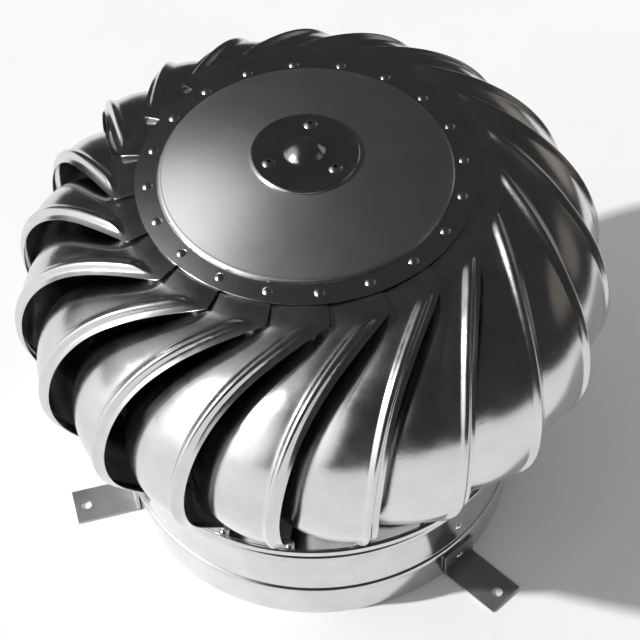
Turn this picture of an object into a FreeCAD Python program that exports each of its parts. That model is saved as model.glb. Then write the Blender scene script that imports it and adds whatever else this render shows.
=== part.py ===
# Wind-driven roof ventilator: a beaded throat collar on three feet, and a vaned rotor that
# turns on a vertical shaft held by two ball bearings.
# Frame: millimetres, +Z up, origin on the rotor axis at the level of the feet's undersides.
import math
import os

import FreeCAD
import Part
import Sketcher

SIZES = [
    ("collar_radius", 149.4, "outside of the throat collar's wall"),
    ("collar_height", 98, "top edge of the collar"),
    ("collar_gauge", 0.8, "sheet of the collar"),
    ("low_bead_height", 30, "centre of the collar's lower bead"),
    ("low_bead_rise", 2, "how far the lower bead stands out"),
    ("low_bead_width", 8, "lower bead across its foot"),
    ("high_bead_drop", 23, "from the collar's top edge down to the centre of its upper bead"),
    ("high_bead_rise", 3.4, "how far the upper bead stands out"),
    ("high_bead_width", 10, "upper bead across its foot"),
    ("arm_phase", -47.2, "azimuth of the first foot and the first spider arm"),
    ("foot_width", 30, "width of a foot's strap"),
    ("foot_gauge", 2, "thickness of a foot's strap"),
    ("foot_bend", 3, "outside radius of a foot's bend"),
    ("foot_length", 49.6, "from the collar out to a foot's end"),
    ("foot_leg", 22, "height of a foot's upright leg"),
    ("bolt_edge", 9, "from a foot's end in to its fixing hole"),
    ("bolt_hole_radius", 4.25, "radius of a fixing hole"),
    ("foot_rivet_height", 11, "height of the rivets through feet and lower spider"),
    ("spider_rivet_height", 48, "height of the rivets through the upper spider"),
    ("spider_gauge", 2.5, "strap of the spider arms"),
    ("spider_width", 24, "width of a spider arm"),
    ("spider_tab", 16, "height of a spider arm's upturned end"),
    ("spider_tab_edge", 8, "from the rivet up to the end of the tab"),
    ("spider_hub_wall", 7, "radial wall of the spider's middle ring"),
    ("face_gap", 0.02, "play between a strap and the collar's wall"),
    ("body_rivet_radius", 2, "shank of the rivets in collar, ring and cap"),
    ("body_rivet_head", 3.6, "head radius of those rivets"),
    ("body_rivet_rise", 1.7, "head height of those rivets"),
    ("body_rivet_tail", 2.9, "radius of their closed ends"),
    ("body_rivet_tail_rise", 1.2, "height of their closed ends"),
    ("rivet_slack", 0.3, "radial slack of a rivet in its hole"),
    ("tail_gap", 0.9, "from the lower top tab down to a cap rivet's closed end"),
    ("shaft_radius", 6, "rotor shaft"),
    ("shaft_foot", 4, "height of the shaft's lower end"),
    ("shaft_stop", 0.5, "from the shaft's upper end up to the cap"),
    ("bearing_radius", 16, "outside of a ball bearing"),
    ("bearing_width", 10, "width of a ball bearing"),
    ("race_wall", 2.5, "radial wall of a bearing ring"),
    ("ball_radius", 2.9, "bearing ball"),
    ("race_play", 0.3, "gap from ball to race"),
    ("ball_count", 7, "balls in a bearing"),
    ("cage_wall", 1.6, "wall of the ring that spaces the balls"),
    ("cage_width", 7.4, "width of that ring"),
    ("cage_play", 0.1, "gap from ball to cage"),
    ("housing_wall", 3, "wall of the bearing tube at a seat"),
    ("housing_shoulder", 2, "step that a bearing seats on"),
    ("housing_foot", 3, "height of the bearing tube's lower end"),
    ("housing_top", 152, "height of the bearing tube's upper end"),
    ("clip_gauge", 1.2, "thickness of a retaining ring"),
    ("clip_depth", 0.7, "depth of a retaining ring's groove"),
    ("clip_width", 3.5, "radial width of a retaining ring"),
    ("clip_edge", 2.8, "from the tube's end to the retaining ring"),
    ("clip_opening", 8, "open stretch of a retaining ring"),
    ("shaft_clip_width", 3, "radial width of the shaft's circlip"),
    ("thrust_collar_radius", 12, "collar that rests the shaft on the upper bearing"),
    ("thrust_collar_height", 12, "height of that collar"),
    ("thrust_collar_nose", 1, "height of its narrow face on the bearing's inner race"),
    ("set_screw_radius", 2.5, "grub screws in thrust collar and hub"),
    ("set_screw_recess", 0.5, "how far a grub screw lies below the surface"),
    ("set_screw_socket", 1.25, "corner radius of its hexagon socket"),
    ("set_screw_socket_depth", 2.5, "depth of that socket"),
    ("rotor_radius", 211, "largest radius of the vanes' free edges"),
    ("equator_rise", 105, "from the bottom ring up to that largest radius"),
    ("crown_inset", 15.8, "from the cap's edge in to where the vanes' outline is level"),
    ("crown_rise", 114, "from the largest radius up to that level"),
    ("heel_radius", 80, "radius of the outline's turn below the equator"),
    ("heel_inset", 9.3, "from the outside of the ring in to the vanes' lower corners"),
    ("vane_count", 20, "vanes round the rotor"),
    ("vane_gauge", 0.6, "sheet of the vanes"),
    ("vane_phase", 94.5, "azimuth of the first vane"),
    ("tab_cover", 13.8, "how far a vane's top tab reaches in under the cap"),
    ("tab_show", 14.7, "from the cap's edge out to a top tab's corner"),
    ("vane_lead", 0.5, "azimuth of the tab's edge from the vane's own azimuth"),
    ("vane_sweep", 32, "how far a free edge sweeps round"),
    ("sweep_fade", 22.8, "how fast the sweep dies out down the outline"),
    ("mouth_gap", 20, "depth of a mouth between two vanes"),
    ("mouth_fade", 13, "how fast a mouth opens to its full depth"),
    ("tab_gap", 0.9, "step from one top tab to the tab below it under the cap"),
    ("corner_gap", 3.2, "step between them at the corner"),
    ("heel_gap", 14.5, "depth of a mouth at the vanes' lower end"),
    ("vane_curl", 2.3, "power of a vane's inward curl"),
    ("tab_lap", 22, "angle covered by a vane's top tab"),
    ("vane_lap", 25, "angle covered by a vane at the equator"),
    ("heel_lap", 19, "angle covered by a vane at its lower end"),
    ("rib_margin", 3.6, "from the free edge to its pressed rib"),
    ("rib_width", 8, "width of the rib"),
    ("rib_rise", 3, "height of the rib"),
    ("ring_inset", 9.4, "from the collar's outside in to the bottom ring's inner edge"),
    ("ring_overhang", 12.9, "from the collar's outside out to the bottom ring's lip"),
    ("ring_lift", 3, "from the collar's top edge up to the top of the bottom ring"),
    ("ring_gauge", 0.8, "sheet of the bottom ring"),
    ("ring_bend", 2, "outside radius of the lip's bend"),
    ("ring_lip", 5, "depth of the bottom ring's outer lip"),
    ("ring_hem", 3, "depth of the bottom ring's inner hem"),
    ("foot_tab_edge", 2.3, "from the outside of the ring to a vane's foot tab"),
    ("foot_tab_lead", 0.5, "angle by which a foot tab runs past its vane's free edge"),
    ("foot_tab_lap", 17, "angle covered by a vane's foot tab"),
    ("ring_rivet_edge", 5, "from the outside of the ring to its rivets"),
    ("ring_rivet_lag", 1.2, "angle from a vane's free edge back to its ring rivet"),
    ("ring_rivet_radius", 1.6, "shank of the ring rivets"),
    ("ring_rivet_head", 2.5, "head radius of the ring rivets"),
    ("ring_rivet_rise", 1.3, "head height of the ring rivets"),
    ("ring_rivet_tail", 2, "radius of their closed ends"),
    ("ring_rivet_tail_rise", 0.8, "height of their closed ends"),
    ("cap_radius", 116.8, "outside of the cap's flange"),
    ("cap_gauge", 0.8, "sheet of the cap"),
    ("cap_lift", 0.5, "from the vanes' crown up to the cap's flange"),
    ("cap_flange_drop", 1.05, "fall of the flange towards its edge"),
    ("cap_rivet_edge", 8.8, "from the cap's edge in to its rivets"),
    ("cap_rivet_lag", 2.1, "angle from a top tab's edge back to its rivet"),
    ("flange_width", 15.3, "from the cap's edge in to the foot of the raised dome"),
    ("dome_step", 3.2, "height and radius of the dome's rounded step"),
    ("dome_rise", 17.7, "from the flange up to the dome's flat middle"),
    ("dome_flat_radius", 36, "radius of the flat middle"),
    ("dome_curve", 290, "radius of curvature of the dome"),
    ("hub_plate_radius", 37.5, "pressed plate over the hub"),
    ("hub_plate_gauge", 1, "sheet of the hub plate"),
    ("hub_plate_rise", 2.4, "height and edge radius of the hub plate"),
    ("boss_radius", 16, "foot of the plate's pressed middle boss"),
    ("boss_rise", 7.5, "height of that boss above the plate"),
    ("boss_fillet", 4, "radius round the boss's foot"),
    ("hub_rivet_circle", 26, "radius of the hub's blind rivets"),
    ("hub_rivet_phase", 80, "azimuth of the first of them"),
    ("hub_rivet_radius", 2.4, "their shanks"),
    ("hub_rivet_head", 4.7, "their heads"),
    ("hub_rivet_rise", 1.9, "height of their heads"),
    ("hub_rivet_bore", 1.3, "hole left by the pulled pin"),
    ("hub_rivet_tail", 3.4, "radius of their closed ends"),
    ("hub_rivet_tail_rise", 2.8, "height of their closed ends"),
    ("hub_flange_radius", 34, "flange of the hub under the cap"),
    ("hub_flange_gauge", 3, "thickness of that flange"),
    ("hub_boss_radius", 13, "boss of the hub"),
    ("hub_boss_height", 30, "height of hub with its boss"),
]

ARM_COUNT = 3
HUB_RIVET_COUNT = 3
VANE_COUNT = int(dict((alias, amount) for alias, amount, note in SIZES)["vane_count"])
PITCH = 360 / VANE_COUNT

# Shares along a vane, from the rotor's axis outward and then down: stations on the top tab,
# stations down to the equator and how they crowd towards the corner, stations below the equator.
TAB_SHARES = (0, 0.35, 0.7, 0.92)
UPPER_STEPS = 12
CROWDING = 1.5
LOWER_SHARES = (0, 0.15, 0.3, 0.45, 0.6, 0.75, 0.86, 0.92, 1)
SHEET_STEPS = 6
# The rib's section as shares of its width and rise, and its run-outs: degrees past the corner
# where it starts, degrees and millimetres over which it fades in and out.
RIB_SECTION = ((0, 0), (0.12, 0.35), (0.3, 1.05), (0.5, 1.25), (0.7, 1.05), (0.88, 0.35), (1, 0))
RIB_LAND = 3
RIB_START = 0.2
RIB_RUN = 1
RIB_END = 5
RIB_FADE = 8
# How the mouths narrow towards the bottom ring, and how the foot tab meets the curled sheet.
HEEL_EASE = 1.5
TAB_ROOT = 0.4
TAB_BITE = 0.8
TAB_STEPS = 8
CUTTER_REACH = 6

doc = FreeCAD.newDocument("RoofVentilator")
sheet = doc.addObject("Spreadsheet::Sheet", "Sizes")
for row, (alias, number, note) in enumerate(SIZES, start=1):
    sheet.set("A%d" % row, note)
    sheet.set("B%d" % row, str(number))
    sheet.setAlias("B%d" % row, alias)
doc.recompute()


class Size:
    """A number together with the sheet expression that gives it."""

    def __init__(self, text, value):
        self.text = text
        self.value = value

    def combine(self, other, sign, value):
        other = as_size(other)
        return Size("(%s %s %s)" % (self.text, sign, other.text), value)

    def __add__(self, other):
        return self.combine(other, "+", self.value + as_size(other).value)

    def __sub__(self, other):
        return self.combine(other, "-", self.value - as_size(other).value)

    def __mul__(self, other):
        return self.combine(other, "*", self.value * as_size(other).value)

    def __truediv__(self, other):
        return self.combine(other, "/", self.value / as_size(other).value)

    def root(self):
        return Size("sqrt(%s)" % self.text, math.sqrt(self.value))

    def sine(self):
        return Size("sin(%s * 1 deg)" % self.text, math.sin(math.radians(self.value)))

    def cosine(self):
        return Size("cos(%s * 1 deg)" % self.text, math.cos(math.radians(self.value)))


def as_size(amount):
    """Plain numbers become sizes with their own text."""
    if isinstance(amount, Size):
        return amount
    return Size(repr(float(amount)), float(amount))


def size(alias):
    """The named size from the sheet."""
    return Size("Sizes." + alias, float(sheet.get(alias)))


def number(alias):
    """The named size as a plain number."""
    return float(sheet.get(alias))


ZERO = as_size(0)

# Places worked out from the sizes.
BODY_RIVET_HOLE = size("body_rivet_radius") + size("rivet_slack")
COLLAR_INNER = size("collar_radius") - size("collar_gauge")
FOOT_END = size("collar_radius") + size("foot_length")
RING_TOP = size("collar_height") + size("ring_lift")
RING_OUTER = size("collar_radius") + size("ring_overhang")
EQUATOR = RING_TOP + size("equator_rise")
CROWN = EQUATOR + size("crown_rise")
CROWN_RADIUS = size("cap_radius") - size("crown_inset")
TAB_ROOT_RADIUS = size("cap_radius") - size("tab_cover")
CORNER_RADIUS = size("cap_radius") + size("tab_show")
CAP_RIVET_CIRCLE = size("cap_radius") - size("cap_rivet_edge")
DOME_RADIUS = size("cap_radius") - size("flange_width")
FLANGE_TOP = CROWN + size("cap_lift") + size("cap_gauge")
DOME_TOP = FLANGE_TOP + size("dome_rise")
PLATE_TOP = DOME_TOP + size("hub_plate_rise")
SHAFT_TOP = DOME_TOP - size("cap_gauge") - size("shaft_stop")
LOWER_CLIP = size("housing_foot") + size("clip_edge")
LOWER_BEARING = LOWER_CLIP + size("clip_gauge")
UPPER_CLIP = size("housing_top") - size("clip_edge") - size("clip_gauge")
UPPER_BEARING = UPPER_CLIP - size("bearing_width")


# ---------------------------------------------------------------- sketches and bodies

def new_sketch(body, name, plane):
    """A sketch on one of the body's own origin planes."""
    sketch = body.newObject("Sketcher::SketchObject", name)
    for feature in body.Origin.OriginFeatures:
        if feature.Role == plane:
            sketch.AttachmentSupport = (feature, "")
    sketch.MapMode = "FlatFace"
    return sketch


def bind(sketch, constraint, amount):
    """Adds a constraint whose size comes from the sheet."""
    index = sketch.addConstraint(constraint)
    sketch.setExpression("Constraints[%d]" % index, amount.text)


def pin_point(sketch, edge, end, across, up):
    """Ties one end of an edge to its place in the sketch."""
    for kind, axis, amount in (("DistanceX", -2, across), ("DistanceY", -1, up)):
        if amount.value == 0:
            sketch.addConstraint(Sketcher.Constraint("PointOnObject", edge, end, axis))
        else:
            bind(sketch, Sketcher.Constraint(kind, edge, end, amount.value), amount)


def arc_through(start, end, radius, side):
    """The shorter arc from start to end; side is +1 where it bulges to the left."""
    chord = end - start
    half = chord.Length / 2
    rise = radius - math.sqrt(max(radius * radius - half * half, 0))
    left = FreeCAD.Vector(-chord.y, chord.x, 0)
    left.normalize()
    middle = (start + end) * 0.5 + left * (side * rise)
    return Part.Arc(start, middle, end)


def draw_outline(sketch, points):
    """A closed outline of (across, up) points; (across, up, radius, side) starts an arc.

    A sketch keeps every arc anticlockwise, so an arc that bulges to the left has its ends swapped.
    """
    spots = [FreeCAD.Vector(point[0].value, point[1].value, 0) for point in points]
    ends = []
    for here, point in enumerate(points):
        start = spots[here]
        finish = spots[(here + 1) % len(spots)]
        if len(point) == 2:
            sketch.addGeometry(Part.LineSegment(start, finish), False)
            ends.append((1, 2))
        else:
            sketch.addGeometry(arc_through(start, finish, point[2].value, point[3]), False)
            ends.append((1, 2) if point[3] < 0 else (2, 1))
    for here, point in enumerate(points):
        after = (here + 1) % len(points)
        joined = (here, ends[here][1], after, ends[after][0])
        sketch.addConstraint(Sketcher.Constraint("Coincident", *joined))
        pin_point(sketch, here, ends[here][0], point[0], point[1])
        if len(point) == 4:
            bind(sketch, Sketcher.Constraint("Radius", here, point[2].value), point[2])


def draw_circle(sketch, across, up, radius):
    """A circle about a point of the sketch."""
    centre = FreeCAD.Vector(across.value, up.value, 0)
    edge = sketch.addGeometry(Part.Circle(centre, FreeCAD.Vector(0, 0, 1), radius.value), False)
    pin_point(sketch, edge, 3, across, up)
    bind(sketch, Sketcher.Constraint("Radius", edge, radius.value), radius)


def new_body(label):
    body = doc.addObject("PartDesign::Body", label)
    body.Label = label
    return body


def revolved(label, outline):
    """A body turned about the rotor axis from its half outline (radius, height)."""
    body = new_body(label)
    sketch = new_sketch(body, label + "_outline", "XZ_Plane")
    draw_outline(sketch, outline)
    turn = body.newObject("PartDesign::Revolution", label + "_turn")
    turn.Profile = sketch
    turn.ReferenceAxis = (sketch, ["V_Axis"])
    turn.Angle = 360
    doc.recompute()
    return body


def add_pad(body, sketch, name, length, both_sides=False):
    pad = body.newObject("PartDesign::Pad", name)
    pad.Profile = sketch
    pad.setExpression("Length", length.text)
    if both_sides:
        pad.Midplane = True
    doc.recompute()
    return pad


def add_cut(body, sketch, name, both_sides=True):
    """A hole through everything, to both sides of the sketch or only to its front."""
    before = body.Shape.Volume
    cut = body.newObject("PartDesign::Pocket", name)
    cut.Profile = sketch
    cut.Type = "ThroughAll"
    cut.Midplane = both_sides
    cut.Reversed = not both_sides
    doc.recompute()
    if not body.Shape.Volume < before:
        raise RuntimeError("%s cuts nothing" % name)
    return cut


def repeat_round(body, features, name, count):
    pattern = body.newObject("PartDesign::PolarPattern", name)
    pattern.Originals = features
    for feature in body.Origin.OriginFeatures:
        if feature.Role == "Z_Axis":
            pattern.Axis = (feature, [""])
    pattern.Angle = 360
    pattern.Occurrences = count
    body.Tip = pattern
    doc.recompute()
    return pattern


def spin(degrees):
    """A placement turned about the rotor axis."""
    return FreeCAD.Placement(FreeCAD.Vector(), FreeCAD.Rotation(FreeCAD.Vector(0, 0, 1), degrees))


def new_feature(label, shape):
    feature = doc.addObject("Part::Feature", label)
    feature.Label = label
    feature.Shape = shape
    return feature


# ---------------------------------------------------------------- fasteners

def rivet_shape(shank, head, rise, grip, tail, tail_rise, bore=0.0):
    """A rivet along +Z: round head seated at height 0, shank through the grip, tail below it."""
    curve = (head * head + rise * rise) / (2 * rise)
    ball = Part.makeSphere(curve, FreeCAD.Vector(0, 0, rise - curve))
    dome = ball.common(Part.makeCylinder(head * 2, rise * 2))
    stem = Part.makeCylinder(shank, grip, FreeCAD.Vector(0, 0, -grip))
    bulb = Part.makeCylinder(tail, tail_rise, FreeCAD.Vector(0, 0, -grip - tail_rise))
    rivet = dome.fuse([stem, bulb])
    if bore:
        depth = grip + tail_rise
        rivet = rivet.cut(Part.makeCylinder(bore, depth + rise, FreeCAD.Vector(0, 0, -depth)))
    return rivet


def body_rivet(grip):
    """One of the rivets used in the collar and under the cap's flange."""
    return rivet_shape(number("body_rivet_radius"), number("body_rivet_head"), number("body_rivet_rise"),
                       grip, number("body_rivet_tail"), number("body_rivet_tail_rise"))


def ring_of(shape, count, phase):
    """Copies of a shape about the rotor axis, as separate solids."""
    copies = []
    for turn in range(count):
        copy = shape.copy()
        copy.rotate(FreeCAD.Vector(), FreeCAD.Vector(0, 0, 1), phase + turn * 360 / count)
        copies.append(copy)
    return Part.makeCompound(copies)


def radial_rivets(label, head_radius_place, height, grip):
    """Rivets that point inward through the collar, one on each arm's azimuth."""
    rivet = body_rivet(grip)
    rivet.rotate(FreeCAD.Vector(), FreeCAD.Vector(0, 1, 0), 90)
    rivet.translate(FreeCAD.Vector(head_radius_place, 0, height))
    return new_feature(label, ring_of(rivet, ARM_COUNT, number("arm_phase")))


# ---------------------------------------------------------------- fixed side: collar, feet, spiders

def make_collar():
    wall = size("collar_radius")
    inner = COLLAR_INNER
    outline = [(inner, ZERO), (wall, ZERO)]
    high_bead = size("collar_height") - size("high_bead_drop")
    beads = ((size("low_bead_height"), size("low_bead_rise"), size("low_bead_width")),
             (high_bead, size("high_bead_rise"), size("high_bead_width")))
    back = []
    for height, rise, width in beads:
        half = width / 2
        curve = (half * half + rise * rise) / (rise * 2)
        low = height - half
        high = height + half
        outline.append((wall, low, curve, -1))
        outline.append((wall, high))
        back.append((inner, low))
        back.append((inner, high, curve, 1))
    outline.append((wall, size("collar_height")))
    outline.append((inner, size("collar_height")))
    outline.extend(reversed(back))
    body = revolved("collar", outline)
    holes = []
    for height in ("foot_rivet_height", "spider_rivet_height"):
        spot = new_sketch(body, "collar_" + height, "YZ_Plane")
        draw_circle(spot, ZERO, size(height), BODY_RIVET_HOLE)
        holes.append(add_cut(body, spot, "collar_hole_" + height, both_sides=False))
    repeat_round(body, holes, "collar_holes", ARM_COUNT)
    body.Placement = spin(number("arm_phase"))
    return body


def make_foot(label, azimuth):
    inner = size("collar_radius") + size("face_gap")
    gauge = size("foot_gauge")
    bend = size("foot_bend")
    leg = size("foot_leg")
    reach = FOOT_END
    body = new_body(label)
    side = new_sketch(body, label + "_side", "XZ_Plane")
    draw_outline(side, [
        (inner, leg), (inner, bend, bend, -1), (inner + bend, ZERO), (reach, ZERO), (reach, gauge),
        (inner + bend, gauge, bend - gauge, 1), (inner + gauge, bend), (inner + gauge, leg),
    ])
    add_pad(body, side, label + "_strap", size("foot_width"), both_sides=True)
    bolt = new_sketch(body, label + "_bolt", "XY_Plane")
    draw_circle(bolt, FOOT_END - size("bolt_edge"), ZERO, size("bolt_hole_radius"))
    add_cut(body, bolt, label + "_bolt_hole")
    rivet = new_sketch(body, label + "_rivet", "YZ_Plane")
    draw_circle(rivet, ZERO, size("foot_rivet_height"), BODY_RIVET_HOLE)
    add_cut(body, rivet, label + "_rivet_hole")
    body.Placement = spin(azimuth)
    return body


def make_spider(label, rivet_height):
    """A hub ring with three strap arms, each with an upright end riveted to the collar."""
    gauge = size("spider_gauge")
    width = size("spider_width")
    half = width / 2
    reach = (COLLAR_INNER * COLLAR_INNER - half * half).root() - size("face_gap")
    hub_inner = size("bearing_radius") + size("housing_wall")
    hub_outer = hub_inner + size("spider_hub_wall")
    top = size(rivet_height) + size("spider_tab_edge")
    low = top - size("spider_tab")
    body = new_body(label)
    hub = new_sketch(body, label + "_hub", "XZ_Plane")
    draw_outline(hub, [
        (hub_inner, low), (hub_outer, low), (hub_outer, low + gauge), (hub_inner, low + gauge),
    ])
    turn = body.newObject("PartDesign::Revolution", label + "_hub_ring")
    turn.Profile = hub
    turn.ReferenceAxis = (hub, ["V_Axis"])
    turn.Angle = 360
    doc.recompute()
    root = hub_inner + size("spider_hub_wall") / 2
    side = new_sketch(body, label + "_side", "XZ_Plane")
    draw_outline(side, [
        (root, low), (reach, low), (reach, top), (reach - gauge, top), (reach - gauge, low + gauge),
        (root, low + gauge),
    ])
    arm = add_pad(body, side, label + "_arm", width, both_sides=True)
    rivet = new_sketch(body, label + "_rivet", "YZ_Plane")
    draw_circle(rivet, ZERO, size(rivet_height), BODY_RIVET_HOLE)
    hole = add_cut(body, rivet, label + "_rivet_hole")
    repeat_round(body, [arm, hole], label + "_arms", ARM_COUNT)
    body.Placement = spin(number("arm_phase"))
    return body


def make_housing():
    """The tube between the spiders, with a bearing seat and a clip groove at each end."""
    seat = size("bearing_radius")
    outside = seat + size("housing_wall")
    bore = seat - size("housing_shoulder")
    groove = seat + size("clip_depth")
    low = size("housing_foot")
    high = size("housing_top")
    edge = size("clip_edge")
    clip = size("clip_gauge")
    deep = edge + clip + size("bearing_width")
    return revolved("bearing_housing", [
        (outside, low), (outside, high), (seat, high), (seat, high - edge), (groove, high - edge),
        (groove, high - edge - clip), (seat, high - edge - clip), (seat, high - deep), (bore, high - deep),
        (bore, low + deep), (seat, low + deep), (seat, low + edge + clip), (groove, low + edge + clip),
        (groove, low + edge), (seat, low + edge), (seat, low),
    ])


def make_bearing(name, low):
    """Outer race, inner race and caged balls of one bearing, its lower face at the height low."""
    high = low + size("bearing_width")
    middle = low + size("bearing_width") / 2
    bore = size("shaft_radius")
    outside = size("bearing_radius")
    wall = size("race_wall")
    pitch = (bore + outside) / 2
    groove = size("ball_radius") + size("race_play")
    inner_face = bore + wall
    outer_face = outside - wall
    gap = pitch - inner_face
    half = (groove * groove - gap * gap).root()
    revolved(name + "_outer_race", [
        (outside, low), (outside, high), (outer_face, high), (outer_face, middle + half, groove, 1),
        (outer_face, middle - half), (outer_face, low),
    ])
    revolved(name + "_inner_race", [
        (bore, high), (bore, low), (inner_face, low), (inner_face, middle - half, groove, 1),
        (inner_face, middle + half), (inner_face, high),
    ])
    half_wall = size("cage_wall") / 2
    half_width = size("cage_width") / 2
    cage = revolved(name + "_cage", [
        (pitch - half_wall, middle - half_width), (pitch + half_wall, middle - half_width),
        (pitch + half_wall, middle + half_width), (pitch - half_wall, middle + half_width),
    ])
    pocket = new_sketch(cage, name + "_pocket", "YZ_Plane")
    draw_circle(pocket, ZERO, middle, size("ball_radius") + size("cage_play"))
    count = int(number("ball_count"))
    hole = add_cut(cage, pocket, name + "_pocket_hole", both_sides=False)
    repeat_round(cage, [hole], name + "_pocket_holes", count)
    ball = Part.makeSphere(number("ball_radius"), FreeCAD.Vector(pitch.value, 0, middle.value))
    new_feature(name + "_balls", ring_of(ball, count, 0))


def clip_shape(outer, width, gauge, low, opening):
    """A retaining ring with an open end."""
    ring = Part.makeCylinder(outer, gauge).cut(Part.makeCylinder(outer - width, gauge))
    mouth = Part.makeBox(outer, opening, gauge, FreeCAD.Vector(0, -opening / 2, 0))
    ring = ring.cut(mouth)
    ring.translate(FreeCAD.Vector(0, 0, low))
    return ring


def make_clips():
    """Retaining rings that hold the outer races in the housing and the shaft in the lower bearing."""
    groove = number("bearing_radius") + number("clip_depth")
    gauge = number("clip_gauge")
    low = LOWER_CLIP.value
    high = UPPER_CLIP.value
    opening = number("clip_opening")
    new_feature("lower_retaining_ring", clip_shape(groove, number("clip_width"), gauge, low, opening))
    new_feature("upper_retaining_ring", clip_shape(groove, number("clip_width"), gauge, high, opening))
    width = number("shaft_clip_width")
    outer = number("shaft_radius") - number("clip_depth") + width
    new_feature("shaft_circlip", clip_shape(outer, width, gauge, low, number("shaft_radius")))


# ---------------------------------------------------------------- turning side: shaft, hub, cap, ring

def make_shaft():
    radius = size("shaft_radius")
    neck = radius - size("clip_depth")
    low = size("shaft_foot")
    clip = LOWER_CLIP
    over = clip + size("clip_gauge")
    top = SHAFT_TOP
    bevel = size("clip_depth")
    revolved("shaft", [
        (ZERO, low), (neck, low), (radius, low + bevel), (radius, clip), (neck, clip), (neck, over),
        (radius, over), (radius, top - bevel), (neck, top), (ZERO, top),
    ])


def drilled_ring(label, outline, height, hole):
    """A turned ring about the shaft with a cross hole for a grub screw along +X."""
    body = revolved(label, outline)
    spot = new_sketch(body, label + "_cross", "YZ_Plane")
    draw_circle(spot, ZERO, height, hole)
    add_cut(body, spot, label + "_cross_hole", both_sides=False)
    return body


def make_thrust_collar():
    """The collar that rests on the upper inner race and carries the rotor's weight."""
    bore = size("shaft_radius")
    outside = size("thrust_collar_radius")
    nose = bore + size("race_wall")
    low = UPPER_BEARING + size("bearing_width")
    top = low + size("thrust_collar_height")
    shoulder = low + size("thrust_collar_nose")
    middle = low + size("thrust_collar_height") / 2
    drilled_ring("thrust_collar", [
        (bore, low), (nose, low), (nose, shoulder), (outside, shoulder), (outside, top), (bore, top),
    ], middle, size("set_screw_radius"))
    grub_screw("thrust_collar_screw", bore.value, outside.value, middle.value)


def grub_screw(label, inner, outer, height):
    """A socket set screw along +X from the shaft to the outside of what it clamps."""
    length = outer - inner - number("set_screw_recess")
    along = FreeCAD.Vector(1, 0, 0)
    screw = Part.makeCylinder(number("set_screw_radius"), length, FreeCAD.Vector(inner, 0, height), along)
    points = []
    for corner in range(7):
        angle = math.pi * corner / 3
        across = number("set_screw_socket") * math.cos(angle)
        up = number("set_screw_socket") * math.sin(angle)
        points.append(FreeCAD.Vector(inner + length, across, height + up))
    socket = Part.Face(Part.makePolygon(points)).extrude(along * -number("set_screw_socket_depth"))
    new_feature(label, screw.cut(socket))


def hub_holes(body, label):
    """Three holes for the blind rivets that clamp hub plate, cap and hub flange."""
    spot = new_sketch(body, label + "_rivet", "XY_Plane")
    draw_circle(spot, size("hub_rivet_circle"), ZERO, size("hub_rivet_radius") + size("rivet_slack"))
    hole = add_cut(body, spot, label + "_rivet_hole")
    repeat_round(body, [hole], label + "_rivet_holes", HUB_RIVET_COUNT)
    body.Placement = spin(number("hub_rivet_phase"))


def make_hub():
    """Flanged boss under the cap, clamped to the shaft by a grub screw."""
    bore = size("shaft_radius")
    boss = size("hub_boss_radius")
    flange = size("hub_flange_radius")
    top = DOME_TOP - size("cap_gauge")
    under = top - size("hub_flange_gauge")
    low = top - size("hub_boss_height")
    middle = low + size("hub_boss_height") / 3
    body = drilled_ring("hub", [
        (bore, low), (boss, low), (boss, under), (flange, under), (flange, top), (bore, top),
    ], middle, size("set_screw_radius"))
    hub_holes(body, "hub")
    grub_screw("hub_screw", bore.value, boss.value, middle.value)
    doc.getObject("hub_screw").Placement = spin(number("hub_rivet_phase"))


def make_cap():
    """Spun cap: a slightly falling flange, a rounded step and a shallow dome with a flat middle."""
    gauge = size("cap_gauge")
    edge = size("cap_radius")
    foot = DOME_RADIUS
    step = size("dome_step")
    root = FLANGE_TOP
    rim = root - size("cap_flange_drop")
    flat = size("dome_flat_radius")
    top = DOME_TOP
    curve = size("dome_curve")
    body = revolved("cap", [
        (edge, rim), (foot, root, step, -1), (foot - step, root + step, curve, -1), (flat, top),
        (ZERO, top), (ZERO, top - gauge), (flat, top - gauge, curve - gauge, 1),
        (foot - step, root + step - gauge, step - gauge, 1), (foot - gauge, root),
        (foot - gauge, root - gauge), (edge, rim - gauge),
    ])
    hub_spot = new_sketch(body, "cap_hub_rivet", "XY_Plane")
    draw_circle(hub_spot, size("hub_rivet_circle"), ZERO, size("hub_rivet_radius") + size("rivet_slack"))
    hub_hole = add_cut(body, hub_spot, "cap_hub_rivet_hole")
    repeat_round(body, [hub_hole], "cap_hub_rivet_holes", HUB_RIVET_COUNT)
    turn = size("vane_phase") + size("vane_lead") - size("cap_rivet_lag") - size("hub_rivet_phase")
    edge_spot = new_sketch(body, "cap_edge_rivet", "XY_Plane")
    draw_circle(edge_spot, CAP_RIVET_CIRCLE * turn.cosine(), CAP_RIVET_CIRCLE * turn.sine(), BODY_RIVET_HOLE)
    edge_hole = add_cut(body, edge_spot, "cap_edge_rivet_hole")
    repeat_round(body, [edge_hole], "cap_edge_rivet_holes", VANE_COUNT)
    body.Placement = spin(number("hub_rivet_phase"))


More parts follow.
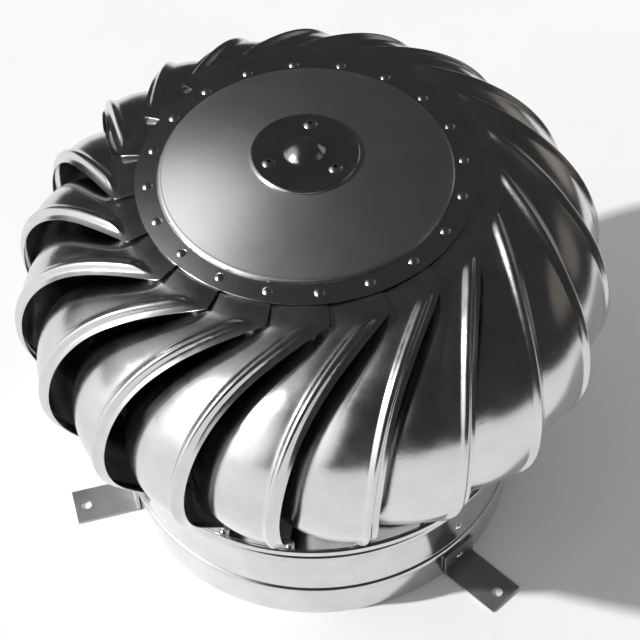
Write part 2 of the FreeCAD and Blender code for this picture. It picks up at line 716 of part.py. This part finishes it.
def make_hub_plate():
    """Pressed plate over the hub: a rounded edge, a flat and a smooth boss in the middle."""
    gauge = size("hub_plate_gauge")
    edge = size("hub_plate_radius")
    bend = size("hub_plate_rise")
    foot = size("boss_radius")
    rise = size("boss_rise")
    fillet = size("boss_fillet")
    top = PLATE_TOP
    ball = (foot * foot + rise * rise) / (rise * 2) - fillet
    centre = top + rise - ball
    reach = ball + fillet
    across = foot / reach
    up = (top + fillet - centre) / reach
    body = revolved("hub_plate", [
        (edge - gauge, DOME_TOP), (edge, DOME_TOP, bend, -1), (edge - bend, top), (foot, top, fillet, 1),
        (across * ball, centre + up * ball, ball, -1), (ZERO, top + rise),
        (ZERO, top + rise - gauge, ball - gauge, 1),
        (across * (ball - gauge), centre + up * (ball - gauge), fillet + gauge, -1), (foot, top - gauge),
        (edge - bend, top - gauge, bend - gauge, 1),
    ])
    hub_holes(body, "hub_plate")


def foot_azimuth():
    """Azimuth of the first vane's free edge at the bottom ring."""
    return number("vane_phase") + upper_station(90).azimuth


def make_bottom_ring():
    """Flat ring that carries the vanes' feet, with an outer lip over the collar and an inner hem."""
    gauge = size("ring_gauge")
    inner = size("collar_radius") - size("ring_inset")
    outer = RING_OUTER
    top = RING_TOP
    bend = size("ring_bend")
    lip = top - size("ring_lip")
    hem = top - size("ring_hem")
    body = revolved("bottom_ring", [
        (inner, hem), (inner, top), (outer - bend, top, bend, 1), (outer, top - bend), (outer, lip),
        (outer - gauge, lip), (outer - gauge, top - bend, bend - gauge, -1), (outer - bend, top - gauge),
        (inner + gauge, top - gauge), (inner + gauge, hem),
    ])
    spot = new_sketch(body, "bottom_ring_rivet", "XY_Plane")
    draw_circle(spot, outer - size("ring_rivet_edge"), ZERO, size("ring_rivet_radius") + size("rivet_slack"))
    hole = add_cut(body, spot, "bottom_ring_rivet_hole")
    repeat_round(body, [hole], "bottom_ring_rivet_holes", VANE_COUNT)
    body.Placement = spin(foot_azimuth() - number("ring_rivet_lag"))


# ---------------------------------------------------------------- vanes

class Station:
    """One place on the vanes' outline: where the free edge lies and how the sheet curls there."""

    def __init__(self, radius, height, azimuth, normal, slant, gap, lap, rib):
        self.radius = radius
        self.height = height
        self.azimuth = azimuth
        self.normal = normal
        self.slant = slant
        self.gap = gap
        self.lap = lap
        self.rib = rib

    def point(self, back, lift):
        """The sheet's outer face at an angle back from the free edge, lifted outward."""
        depth = self.gap * (back / PITCH) ** number("vane_curl") - lift
        radius = self.radius - self.normal[0] * depth
        height = self.height - self.normal[1] * depth
        angle = math.radians(self.azimuth - back)
        return FreeCAD.Vector(radius * math.cos(angle), radius * math.sin(angle), height)


def smooth(amount):
    """Eases from 0 to 1."""
    amount = min(max(amount, 0.0), 1.0)
    return amount * amount * (3 - 2 * amount)


def between(start, end, share):
    return start + (end - start) * share


def crown_angle(radius):
    """Angle from the crown, about the outline's centre, at which it reaches a radius."""
    reach = number("rotor_radius") - CROWN_RADIUS.value
    return math.degrees(math.asin((radius.value - CROWN_RADIUS.value) / reach))


def upper_station(angle):
    """A station on the quarter ellipse from the crown (0 degrees) to the equator (90 degrees)."""
    reach = number("rotor_radius") - CROWN_RADIUS.value
    rise = number("crown_rise")
    across = reach * math.sin(math.radians(angle))
    up = rise * math.cos(math.radians(angle))
    radius = CROWN_RADIUS.value + across
    corner = crown_angle(CORNER_RADIUS)
    beyond = max(angle - corner, 0)
    fading = math.exp(-beyond / number("sweep_fade"))
    azimuth = number("vane_lead") - number("vane_sweep") * (1 - fading)
    steepness = math.hypot(rise / reach * across, reach / rise * up)
    normal = (rise / reach * across / steepness, reach / rise * up / steepness)
    sideways = max(radius, CORNER_RADIUS.value) * number("vane_sweep") / number("sweep_fade") * fading
    slant = math.cos(math.atan2(sideways, steepness))
    share = 1 - math.exp(-beyond / number("mouth_fade"))
    along_tab = smooth(angle / corner)
    tab = between(number("tab_gap"), number("corner_gap"), along_tab)
    gap = between(tab, number("mouth_gap"), share)
    lap = between(number("tab_lap"), number("vane_lap"), share)
    rib = smooth((beyond - RIB_START) / RIB_RUN)
    return Station(radius, EQUATOR.value + up, azimuth, normal, slant, gap, lap, rib)


def heel_slope():
    """Slope from vertical of the straight stretch that ends at the bottom ring."""
    drop = EQUATOR.value - vane_foot()
    inset = number("rotor_radius") - (RING_OUTER.value - number("heel_inset"))
    turn = number("heel_radius")
    span = math.hypot(drop, turn - inset)
    return math.asin(turn / span) - math.atan2(turn - inset, drop)


def lower_station(height):
    """A station on the arc and the straight stretch below the equator."""
    slope = heel_slope()
    turn = number("heel_radius")
    drop = EQUATOR.value - height
    bend = min(drop / turn, math.sin(slope))
    radius = number("rotor_radius") - turn * (1 - math.sqrt(1 - bend * bend))
    radius -= max(drop - turn * math.sin(slope), 0) * math.tan(slope)
    share = (drop / (EQUATOR.value - vane_foot())) ** HEEL_EASE
    gap = between(number("mouth_gap"), number("heel_gap"), share)
    lap = between(number("vane_lap"), number("heel_lap"), share)
    rib = smooth((height - vane_foot() - RIB_END) / RIB_FADE)
    return Station(radius, height, upper_station(90).azimuth, (1, 0), 1, gap, lap, rib)


def vane_foot():
    """Height of a vane's lower end, inside the thickness of its foot tab."""
    return RING_TOP.value + number("vane_gauge") * TAB_ROOT


def vane_stations():
    """Stations down a vane, closer together at the top tab's corner and at the lower end."""
    root = crown_angle(TAB_ROOT_RADIUS)
    corner = crown_angle(CORNER_RADIUS)
    stations = []
    for share in TAB_SHARES:
        stations.append(upper_station(between(root, corner, share)))
    for step in range(UPPER_STEPS):
        stations.append(upper_station(between(corner, 90, (step / UPPER_STEPS) ** CROWDING)))
    for share in LOWER_SHARES:
        stations.append(lower_station(between(EQUATOR.value, vane_foot(), share)))
    return stations


def vane_row(station):
    """Points of the outer face from the free edge back across the rib to the hidden edge."""
    margin = number("rib_margin")
    width = number("rib_width")
    rise = number("rib_rise") * station.rib
    radius = max(station.radius, CORNER_RADIUS.value)
    places = [(0, 0), (margin / 2, 0)]
    places.extend((margin + across * width, up * rise) for across, up in RIB_SECTION)
    places.append((margin + width + RIB_LAND, 0))
    points = []
    for distance, lift in places:
        back = math.degrees(distance / (radius * station.slant))
        points.append(station.point(back, lift))
    for step in range(1, SHEET_STEPS + 1):
        points.append(station.point(between(back, station.lap, step / SHEET_STEPS), 0))
    return points


def foot_tab(stations):
    """Flat foot of a vane: from the sheet's lower edge out to the edge of the ring."""
    last = stations[-1]
    lead = number("foot_tab_lead")
    lap = number("foot_tab_lap")
    outer = RING_OUTER.value - number("foot_tab_edge")
    floor = RING_TOP.value
    inner_points = []
    outer_points = []
    for step in range(TAB_STEPS + 1):
        share = step / TAB_STEPS
        spot = last.point(between(0, lap, share), -number("vane_gauge") * TAB_BITE)
        inner_points.append(FreeCAD.Vector(spot.x, spot.y, floor))
        angle = math.radians(last.azimuth - between(-lead, lap, share))
        outer_points.append(FreeCAD.Vector(outer * math.cos(angle), outer * math.sin(angle), floor))
    rim = inner_points + outer_points[::-1] + inner_points[:1]
    return Part.Face(Part.makePolygon(rim)).extrude(FreeCAD.Vector(0, 0, number("vane_gauge")))


def upright_hole(radius, azimuth, hole, height):
    """A cutter for a vertical hole through a sheet near the given height."""
    angle = math.radians(azimuth)
    foot = FreeCAD.Vector(radius * math.cos(angle), radius * math.sin(angle), height - CUTTER_REACH)
    return Part.makeCylinder(hole, CUTTER_REACH * 2, foot)


def sheet_face(net):
    """A smooth face whose control net is the given grid of points."""
    rows = len(net)
    columns = len(net[0])
    surface = Part.BSplineSurface()
    surface.buildFromPolesMultsKnots(net, end_mults(rows), end_mults(columns), list(range(rows - 2)),
                                     list(range(columns - 2)), False, False, 3, 3)
    return surface.toShape()


def end_mults(count):
    """Knot multiplicities of a clamped cubic with this many control points."""
    return [4] + [1] * (count - 4) + [4]


def offset_net(net, depth):
    """The grid moved to the inner side of the sheet by the given depth."""
    moved = []
    for row, points in enumerate(net):
        above = net[max(row - 1, 0)]
        below = net[min(row + 1, len(net) - 1)]
        shifted = []
        for column, point in enumerate(points):
            down = below[column] - above[column]
            back = points[min(column + 1, len(points) - 1)] - points[max(column - 1, 0)]
            inward = down.cross(back)
            inward.normalize()
            shifted.append(point + inward * depth)
        moved.append(shifted)
    return moved


def sheet_solid(net, gauge):
    """A closed sheet between the net's face and the same face moved inward."""
    outer = sheet_face(net)
    inner = sheet_face(offset_net(net, gauge))
    faces = [outer, inner]
    for near, far in zip(outer.OuterWire.OrderedEdges, inner.OuterWire.OrderedEdges):
        faces.append(Part.makeRuledSurface(near, far))
    shell = Part.makeShell(faces)
    shell.sewShape()
    solid = Part.makeSolid(shell)
    if solid.Volume < 0:
        solid.reverse()
    return solid


def vane_shape():
    """One vane at azimuth 0: curled sheet, foot tab and the holes of its three rivets."""
    stations = vane_stations()
    gauge = number("vane_gauge")
    curled = sheet_solid([vane_row(station) for station in stations], gauge)
    whole = curled.fuse(foot_tab(stations))
    edge = number("vane_lead") - number("cap_rivet_lag")
    cutters = []
    for azimuth in (edge, edge - PITCH):
        cutters.append(upright_hole(CAP_RIVET_CIRCLE.value, azimuth, BODY_RIVET_HOLE.value, CROWN.value))
    cutters.append(upright_hole(RING_OUTER.value - number("ring_rivet_edge"),
                                stations[-1].azimuth - number("ring_rivet_lag"),
                                number("ring_rivet_radius") + number("rivet_slack"), RING_TOP.value))
    return whole.cut(cutters)


def make_vanes():
    shape = vane_shape()
    for turn in range(VANE_COUNT):
        vane = new_feature("vane_%02d" % (turn + 1), shape)
        vane.Placement = spin(number("vane_phase") + turn * PITCH)


# ---------------------------------------------------------------- groups of rivets

def make_cap_rivets():
    """Rivets through the cap's flange and the two top tabs under it, square to the flange."""
    slope = number("cap_flange_drop") / number("flange_width")
    circle = CAP_RIVET_CIRCLE.value
    seat = FLANGE_TOP.value - slope * (circle - DOME_RADIUS.value)
    sheets = number("cap_gauge") + number("cap_lift") + number("vane_gauge")
    grip = sheets + tab_step_at(circle) + number("tail_gap")
    rivet = body_rivet(grip)
    rivet.rotate(FreeCAD.Vector(), FreeCAD.Vector(0, 1, 0), math.degrees(math.atan(slope)))
    rivet.translate(FreeCAD.Vector(circle, 0, seat))
    phase = number("vane_phase") + number("vane_lead") - number("cap_rivet_lag")
    new_feature("cap_rivets", ring_of(rivet, VANE_COUNT, phase))


def tab_step_at(radius):
    """How far the lower of two top tabs lies under the upper one where a rivet passes."""
    station = upper_station(crown_angle(as_size(radius)))
    return station.gap * (1 + number("cap_rivet_lag") / PITCH) ** number("vane_curl")


def make_ring_rivets():
    """Rivets through the vanes' foot tabs and the bottom ring."""
    rivet = rivet_shape(number("ring_rivet_radius"), number("ring_rivet_head"), number("ring_rivet_rise"),
                        number("vane_gauge") + number("ring_gauge"), number("ring_rivet_tail"),
                        number("ring_rivet_tail_rise"))
    rivet.translate(FreeCAD.Vector(RING_OUTER.value - number("ring_rivet_edge"), 0,
                                   RING_TOP.value + number("vane_gauge")))
    new_feature("ring_rivets", ring_of(rivet, VANE_COUNT, foot_azimuth() - number("ring_rivet_lag")))


def make_hub_rivets():
    """Blind rivets through hub plate, cap and hub flange, hollow where their pins broke off."""
    grip = number("hub_plate_rise") + number("cap_gauge") + number("hub_flange_gauge")
    rivet = rivet_shape(number("hub_rivet_radius"), number("hub_rivet_head"), number("hub_rivet_rise"), grip,
                        number("hub_rivet_tail"), number("hub_rivet_tail_rise"), number("hub_rivet_bore"))
    rivet.translate(FreeCAD.Vector(number("hub_rivet_circle"), 0, PLATE_TOP.value))
    new_feature("hub_rivets", ring_of(rivet, HUB_RIVET_COUNT, number("hub_rivet_phase")))


def make_collar_rivets():
    """Rivets through the collar: with a foot outside at the lower spider, bare at the upper one."""
    wall = number("collar_radius")
    inside = math.sqrt(COLLAR_INNER.value ** 2 - (number("spider_width") / 2) ** 2)
    behind = wall - inside + number("spider_gauge") + number("face_gap")
    foot = number("foot_gauge") + number("face_gap")
    radial_rivets("foot_rivets", wall + foot, number("foot_rivet_height"), foot + behind)
    radial_rivets("spider_rivets", wall, number("spider_rivet_height"), behind)


# ---------------------------------------------------------------- build, check and write

make_collar()
for turn in range(ARM_COUNT):
    make_foot("foot_%d" % (turn + 1), number("arm_phase") + turn * 360 / ARM_COUNT)
make_spider("lower_spider", "foot_rivet_height")
make_spider("upper_spider", "spider_rivet_height")
make_collar_rivets()
make_housing()
make_bearing("lower_bearing", LOWER_BEARING)
make_bearing("upper_bearing", UPPER_BEARING)
make_clips()
make_shaft()
make_thrust_collar()
make_hub()
make_cap()
make_hub_plate()
make_hub_rivets()
make_cap_rivets()
make_bottom_ring()
make_vanes()
make_ring_rivets()
doc.recompute()

pieces = [item for item in doc.Objects if item.TypeId in ("PartDesign::Body", "Part::Feature")]
for item in doc.Objects:
    if "Invalid" in item.State or "Error" in item.State:
        raise RuntimeError("%s failed to build" % item.Name)
for item in pieces:
    if item.Shape.isNull() or not item.Shape.isValid():
        raise RuntimeError("%s has no valid shape" % item.Label)
os.makedirs("parts", exist_ok=True)
for item in pieces:
    item.Shape.exportStep("parts/%s.step" % item.Label)
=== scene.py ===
# Looks of the turbine roof ventilator: materials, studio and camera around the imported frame.
# Metres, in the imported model's own frame: +Z up along the rotor's shaft, origin on the floor.
import math

import bpy
from mathutils import Matrix, Vector

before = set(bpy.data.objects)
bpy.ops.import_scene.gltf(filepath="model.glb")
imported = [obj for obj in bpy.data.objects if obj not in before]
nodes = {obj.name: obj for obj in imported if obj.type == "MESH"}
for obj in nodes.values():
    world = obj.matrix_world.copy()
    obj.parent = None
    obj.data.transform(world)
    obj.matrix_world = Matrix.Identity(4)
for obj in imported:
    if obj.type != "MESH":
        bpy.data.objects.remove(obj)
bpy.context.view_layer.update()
scene = bpy.context.scene

# The camera stands on the -Y side and looks down at its target.
CAMERA_ELEVATION = math.radians(50.05)
CAMERA_ROLL = math.radians(-2.64)
CAMERA_DISTANCE = 1.501
CAMERA_TARGET = Vector((0.0049, 0.0, 0.1646))
LENS_OVER_SENSOR = 3.176

# The vanes' envelope: its largest radius and the height of it, and the radius and rise of the crown.
# Below the largest radius it falls in by HEEL_FALL times the square of the drop.
ROTOR_RADIUS = 0.211
CROWN_RADIUS = 0.101
EQUATOR_HEIGHT = 0.206
CROWN_RISE = 0.114
HEEL_FALL = 5.2

# Painted shade on the vanes, in the openings where each curls in under the next vane: the depth inside that
# envelope where it begins and where it is darkest, and its colour.
MOUTH_SHADE_BEGIN = 0.013
MOUTH_SHADE_END = 0.024
MOUTH_SHADE_TINT = (0.1, 0.1, 0.1, 1.0)

# Textures of the metals, in features per metre. A grain's middle number is per radian round the shaft.
SMUDGE_SCALE = 38.0
SPECK_SCALE = 420.0
SWAY_SCALE = 26.0
SPUN_GRAIN = (900.0, 3.0, 900.0)
SHEET_GRAIN = (60.0, 190.0, 40.0)
# Noise values between which a smudge turns the tint and the roughness, and a speck comes up.
SMUDGE_TINTS = (0.3, 0.7)
SMUDGE_ROUGHENS = (0.3, 0.75)
SPECK_SHOWS = (0.62, 0.8)
# How much of the tint a smudge takes away, as a multiple of the metal's spread.
SMUDGE_DEPTH = 2.2

STEEL = (0.72, 0.717, 0.71)
# The cap's satin middle: its radius, its roughness and the width of its soft edge.
SATIN_RADIUS = 0.100
SATIN_ROUGHNESS = 0.36
SATIN_EDGE = 0.0015

SUN_AIM = Vector((-0.85, -0.112, 0.515))
SUN_STRENGTH = 4.2
SUN_WIDTH = math.radians(2.5)

DOME_LIGHT_AIM = Vector((-0.075, -0.03, 0.33))
DOME_LIGHT_PLACE = Vector((-0.7, 0.48, 1.13))
DOME_LIGHT_SIZE = 0.8
DOME_LIGHT_POWER = 2.1

# The floor's corners, and its paper: the mottle's two shades, its scale and the noise values between them.
FLOOR_LOW = Vector((-3.0, -3.0))
FLOOR_HIGH = Vector((0.85, 1.0))
PAPER_SHADES = ((0.86, 0.86, 0.865, 1.0), (0.88, 0.88, 0.885, 1.0))
PAPER_ROUGHNESS = 0.75
PAPER_SHEEN = 0.2
MOTTLE_SCALE = 9.0
MOTTLE_TURNS = (0.3, 0.7)

# The room: its own dim light, what lights matt surfaces instead, and what the camera sees instead.
ROOM_LIGHT = (0.035, 0.035, 0.036, 1.0)
FILL_LIGHT = (0.39, 0.393, 0.40, 1.0)
BACKDROP = (0.93, 0.93, 0.93, 1.0)
# Soft patches in the room: direction, degrees within which it is full and beyond which there is none, colour.
ROOM_PATCHES = (
    ((-0.9, -0.42, 0.2), 12, 38, (1.25, 1.25, 1.25, 1.0)),
    ((-0.9, 0.1, 0.35), 14, 48, (0.5, 0.5, 0.5, 1.0)),
    ((0.75, 0.6, 0.08), 7, 20, (0.27, 0.25, 0.225, 1.0)),
    ((0.9, -0.05, 0.3), 8, 22, (0.13, 0.118, 0.105, 1.0)),
)
BLACK = (0.0, 0.0, 0.0, 1.0)

# Sockets of a colour mix node, which shares its names with the sockets for numbers and vectors.
MIX_FIRST, MIX_SECOND, MIX_RESULT = 6, 7, 2


# ---------------------------------------------------------------- shader helpers

class Shader:
    """Short ways to add and link the nodes of one tree."""

    def __init__(self, tree):
        self.nodes = tree.nodes
        self.links = tree.links

    def add(self, kind, **settings):
        node = self.nodes.new(kind)
        for name, value in settings.items():
            setattr(node, name, value)
        return node

    def feed(self, socket, value):
        """Sets a socket, or links it where the value is another socket."""
        if isinstance(value, bpy.types.NodeSocket):
            self.links.new(value, socket)
        else:
            socket.default_value = value

    def math(self, operation, first, second=0.0, clamp=False):
        node = self.add("ShaderNodeMath", operation=operation, use_clamp=clamp)
        self.feed(node.inputs[0], first)
        self.feed(node.inputs[1], second)
        return node.outputs[0]

    def dot(self, first, second):
        node = self.add("ShaderNodeVectorMath", operation="DOT_PRODUCT")
        self.feed(node.inputs[0], first)
        self.feed(node.inputs[1], second)
        return node.outputs["Value"]

    def combine(self, values):
        """A vector of three values."""
        node = self.add("ShaderNodeCombineXYZ")
        for socket, value in zip(node.inputs, values):
            self.feed(socket, value)
        return node.outputs[0]

    def ramp(self, value, low, high, new_low, new_high):
        """Maps a value from one range to another, smoothly, and holds it beyond the ends."""
        node = self.add("ShaderNodeMapRange", interpolation_type="SMOOTHSTEP")
        for name, amount in (("Value", value), ("From Min", low), ("From Max", high),
                             ("To Min", new_low), ("To Max", new_high)):
            self.feed(node.inputs[name], amount)
        return node.outputs["Result"]

    def noise(self, place, scale, detail=3.0, roughness=0.5):
        node = self.add("ShaderNodeTexNoise")
        for name, amount in (("Vector", place), ("Scale", scale), ("Detail", detail),
                             ("Roughness", roughness)):
            self.feed(node.inputs[name], amount)
        return node.outputs["Fac"]

    def mix(self, share, first, second, blend="MIX"):
        node = self.add("ShaderNodeMix", data_type="RGBA", blend_type=blend)
        self.feed(node.inputs["Factor"], share)
        self.feed(node.inputs[MIX_FIRST], first)
        self.feed(node.inputs[MIX_SECOND], second)
        return node.outputs[MIX_RESULT]


def new_material(name):
    """A material with its shader and its principled node."""
    material = bpy.data.materials.new(name)
    material.use_nodes = True
    shader = Shader(material.node_tree)
    return material, shader, shader.nodes["Principled BSDF"]


def object_place(shader):
    """A point's place on its own piece, which turns with the piece."""
    return shader.add("ShaderNodeTexCoord").outputs["Object"]


def polar(shader, place):
    """A place's radius from the shaft's axis, its angle round it and its height, in metres and radians."""
    split = shader.add("ShaderNodeSeparateXYZ")
    shader.feed(split.inputs[0], place)
    across, along, up = split.outputs
    radius = shader.math("SQRT", shader.math("ADD", shader.math("MULTIPLY", across, across),
                                             shader.math("MULTIPLY", along, along)))
    angle = shader.math("ARCTAN2", along, across)
    return radius, angle, up


def mouth_depth(shader, radius, up):
    """How far a point lies inside the envelope of the vanes' free edges, in metres across."""
    above = shader.math("MAXIMUM", shader.math("SUBTRACT", up, EQUATOR_HEIGHT), 0.0)
    below = shader.math("MAXIMUM", shader.math("SUBTRACT", EQUATOR_HEIGHT, up), 0.0)
    rise = shader.math("DIVIDE", above, CROWN_RISE)
    cosine_squared = shader.math("SUBTRACT", 1.0, shader.math("MULTIPLY", rise, rise), clamp=True)
    swell = shader.math("MULTIPLY", shader.math("SQRT", cosine_squared), ROTOR_RADIUS - CROWN_RADIUS)
    fall = shader.math("MULTIPLY", shader.math("MULTIPLY", below, below), HEEL_FALL)
    envelope = shader.math("SUBTRACT", shader.math("ADD", swell, CROWN_RADIUS), fall)
    return shader.math("SUBTRACT", envelope, radius)


def metal(name, tint, roughness, spread, grain=0.0, wave=0.0, spun=False, satin=False, paint_mouth_shade=False):
    """Bare metal with smudges and specks, a fine grain and the slow waves of thin sheet.

    spread is how far the roughness varies; grain and wave are heights in metres. spun grain runs round the
    shaft, satin gives the cap's duller middle, and the last flag paints shade on what curls under the next
    vane.
    """
    material, shader, bsdf = new_material(name)
    place = object_place(shader)
    radius, angle, up = polar(shader, place)
    smudge = shader.noise(place, SMUDGE_SCALE, detail=4.0, roughness=0.6)
    speck = shader.noise(place, SPECK_SCALE, detail=2.0, roughness=0.7)

    smudged = tuple(channel * (1 - spread * SMUDGE_DEPTH) for channel in tint) + (1.0,)
    clean = tuple(tint) + (1.0,)
    colour = shader.mix(shader.ramp(smudge, *SMUDGE_TINTS, 0.0, 1.0), smudged, clean)
    if paint_mouth_shade:
        # Painted shade: the colour goes dark deep inside the envelope, where the sheet curls in under the
        # next vane.
        painted_shade_share = shader.ramp(mouth_depth(shader, radius, up), MOUTH_SHADE_BEGIN, MOUTH_SHADE_END, 0.0, 1.0)
        colour = shader.mix(painted_shade_share, colour, MOUTH_SHADE_TINT)
    bsdf.inputs["Metallic"].default_value = 1.0
    shader.feed(bsdf.inputs["Base Color"], colour)

    rough = shader.ramp(smudge, *SMUDGE_ROUGHENS, roughness - spread / 2, roughness + spread)
    rough = shader.math("ADD", rough, shader.ramp(speck, *SPECK_SHOWS, 0.0, spread))
    if satin:
        rim = SATIN_RADIUS + SATIN_EDGE
        duller = shader.ramp(radius, SATIN_RADIUS, rim, SATIN_ROUGHNESS - roughness, 0.0)
        rough = shader.math("ADD", rough, duller)
    shader.feed(bsdf.inputs["Roughness"], rough)

    scales = SPUN_GRAIN if spun else SHEET_GRAIN
    streak_place = shader.combine([shader.math("MULTIPLY", value, scale)
                                   for value, scale in zip((radius, angle, up), scales)])
    streak = shader.noise(streak_place, 1.0, detail=2.0, roughness=0.5)
    sway = shader.noise(place, SWAY_SCALE, detail=1.0, roughness=0.4)
    height = shader.math("ADD", shader.math("MULTIPLY", streak, grain), shader.math("MULTIPLY", sway, wave))
    bump = shader.add("ShaderNodeBump")
    bump.inputs["Strength"].default_value = 1.0
    bump.inputs["Distance"].default_value = 1.0
    shader.feed(bump.inputs["Height"], height)
    shader.feed(bsdf.inputs["Normal"], bump.outputs["Normal"])
    return material


# ---------------------------------------------------------------- materials of the parts

MATERIALS = {
    "vane": metal("polished_vane_sheet", STEEL, 0.2, 0.05, grain=1.2e-6, wave=2e-5, paint_mouth_shade=True),
    "cap": metal("spun_cap", (0.68, 0.68, 0.675), 0.17, 0.012, grain=4e-7, spun=True, satin=True),
    "plate": metal("hub_plate_sheet", (0.66, 0.66, 0.655), 0.16, 0.05, grain=1e-6, wave=2e-5),
    "ring": metal("ring_sheet", STEEL, 0.16, 0.05, grain=5e-7, wave=3e-5, spun=True),
    "collar": metal("collar_sheet", STEEL, 0.16, 0.05, grain=1e-6, wave=8e-5),
    "strap": metal("strap_steel", (0.52, 0.52, 0.52), 0.5, 0.06, grain=1e-6, wave=5e-6),
    "rivet": metal("rivet_metal", (0.86, 0.86, 0.85), 0.2, 0.06, wave=1e-5),
    "black": metal("black_oxide_steel", (0.12, 0.12, 0.125), 0.35, 0.08, grain=1e-6),
    "bearing": metal("bearing_steel", (0.78, 0.78, 0.79), 0.1, 0.04, grain=3e-7, spun=True),
    "brass": metal("cage_brass", (0.75, 0.58, 0.28), 0.25, 0.06, grain=5e-7, spun=True),
    "turned": metal("turned_steel", (0.62, 0.62, 0.63), 0.24, 0.06, grain=1.2e-6, spun=True),
    "hub": metal("machined_hub", (0.66, 0.66, 0.67), 0.34, 0.1, grain=2e-6, wave=2e-5),
}
KIND_OF_NODE = {"collar": "collar", "bottom_ring": "ring", "cap": "cap", "hub_plate": "plate", "hub": "hub"}


def kind_of(name):
    """Which of the materials a CAD node is made of."""
    if name.startswith("vane_"):
        return "vane"
    if name.endswith("rivets"):
        return "rivet"
    if name.startswith("foot_") or name.endswith("spider"):
        return "strap"
    if "cage" in name:
        return "brass"
    if "race" in name or "balls" in name:
        return "bearing"
    if name.endswith("screw") or "retaining" in name or "circlip" in name:
        return "black"
    return KIND_OF_NODE.get(name, "turned")


def dress(node):
    """Gives a CAD node its material."""
    material = MATERIALS[kind_of(node.name)]
    if not node.data.materials:
        node.data.materials.append(material)
    for slot in node.material_slots:
        slot.material = material


for node in nodes.values():
    dress(node)


# ---------------------------------------------------------------- studio

def aimed(name, light, direction):
    """Puts a light in the scene that shines from the given direction."""
    lamp = bpy.data.objects.new(name, light)
    scene.collection.objects.link(lamp)
    lamp.rotation_mode = "QUATERNION"
    lamp.rotation_quaternion = direction.to_track_quat("Z", "Y")
    return lamp


def floor_material():
    """Pale matt paper with a very faint mottle."""
    material, shader, bsdf = new_material("studio_floor")
    mottle = shader.ramp(shader.noise(object_place(shader), MOTTLE_SCALE), *MOTTLE_TURNS, 0.0, 1.0)
    shader.feed(bsdf.inputs["Base Color"], shader.mix(mottle, *PAPER_SHADES))
    bsdf.inputs["Roughness"].default_value = PAPER_ROUGHNESS
    bsdf.inputs["Specular IOR Level"].default_value = PAPER_SHEEN
    return material


def make_floor():
    """A sheet of pale paper under the part, which ends just outside the view on the dark side of the room."""
    sheet = bpy.data.meshes.new("studio_floor")
    low, high = FLOOR_LOW, FLOOR_HIGH
    corners = [(low.x, low.y, 0), (high.x, low.y, 0), (high.x, high.y, 0), (low.x, high.y, 0)]
    sheet.from_pydata(corners, [], [(0, 1, 2, 3)])
    floor = bpy.data.objects.new("studio_floor", sheet)
    scene.collection.objects.link(floor)
    sheet.materials.append(floor_material())


def soft_patch(shader, direction, aim, inner, outer, colour):
    """Light from a soft round patch of the room: full within inner degrees, none beyond outer."""
    near = shader.dot(direction, Vector(aim).normalized())
    share = shader.ramp(near, math.cos(math.radians(outer)), math.cos(math.radians(inner)), 0.0, 1.0)
    return shader.mix(share, BLACK, colour)


def make_world():
    """A dark room with soft patches of light, the strong ones on the left.

    Matt surfaces get even fill light, and the camera itself sees plain pale surroundings.
    """
    world = bpy.data.worlds.new("studio")
    scene.world = world
    world.use_nodes = True
    shader = Shader(world.node_tree)
    shader.nodes.clear()
    direction = shader.add("ShaderNodeTexCoord").outputs["Generated"]
    total = ROOM_LIGHT
    for aim, inner, outer, colour in ROOM_PATCHES:
        total = shader.mix(1.0, total, soft_patch(shader, direction, aim, inner, outer, colour), "ADD")
    path = shader.add("ShaderNodeLightPath")
    total = shader.mix(path.outputs["Is Diffuse Ray"], total, FILL_LIGHT)
    total = shader.mix(path.outputs["Is Camera Ray"], total, BACKDROP)
    background = shader.add("ShaderNodeBackground")
    shader.feed(background.inputs["Color"], total)
    output = shader.add("ShaderNodeOutputWorld")
    shader.feed(output.inputs["Surface"], background.outputs[0])


def make_sun():
    """Sunlight from the left, with a slightly soft edge to its shadow."""
    light = bpy.data.lights.new("window_light", "SUN")
    light.energy = SUN_STRENGTH
    light.angle = SUN_WIDTH
    aimed("window_light", light, SUN_AIM)


def make_dome_light():
    """A soft panel up on the left that lights the cap, with its satin dome, and nothing else."""
    light = bpy.data.lights.new("dome_light", "AREA")
    light.size = DOME_LIGHT_SIZE
    light.energy = DOME_LIGHT_POWER
    panel = aimed("dome_light", light, DOME_LIGHT_PLACE - DOME_LIGHT_AIM)
    panel.location = DOME_LIGHT_PLACE
    lit = bpy.data.collections.new("lit_by_dome_light")
    lit.objects.link(nodes["cap"])
    panel.light_linking.receiver_collection = lit


def make_camera():
    """The camera, aimed at its target and then turned about its own axis by its roll."""
    camera = bpy.data.objects.new("camera", bpy.data.cameras.new("camera"))
    scene.collection.objects.link(camera)
    scene.camera = camera
    camera.data.lens = camera.data.sensor_width * LENS_OVER_SENSOR
    back = Vector((0, -math.cos(CAMERA_ELEVATION), math.sin(CAMERA_ELEVATION)))
    right = Vector((1, 0, 0))
    up = back.cross(right)
    across = right * math.cos(CAMERA_ROLL) + up * math.sin(CAMERA_ROLL)
    above = up * math.cos(CAMERA_ROLL) - right * math.sin(CAMERA_ROLL)
    turn = Matrix((across, above, back)).transposed()
    camera.matrix_world = Matrix.Translation(CAMERA_TARGET + back * CAMERA_DISTANCE) @ turn.to_4x4()


make_floor()
make_world()
make_sun()
make_dome_light()
make_camera()
scene.view_settings.view_transform = "Standard"
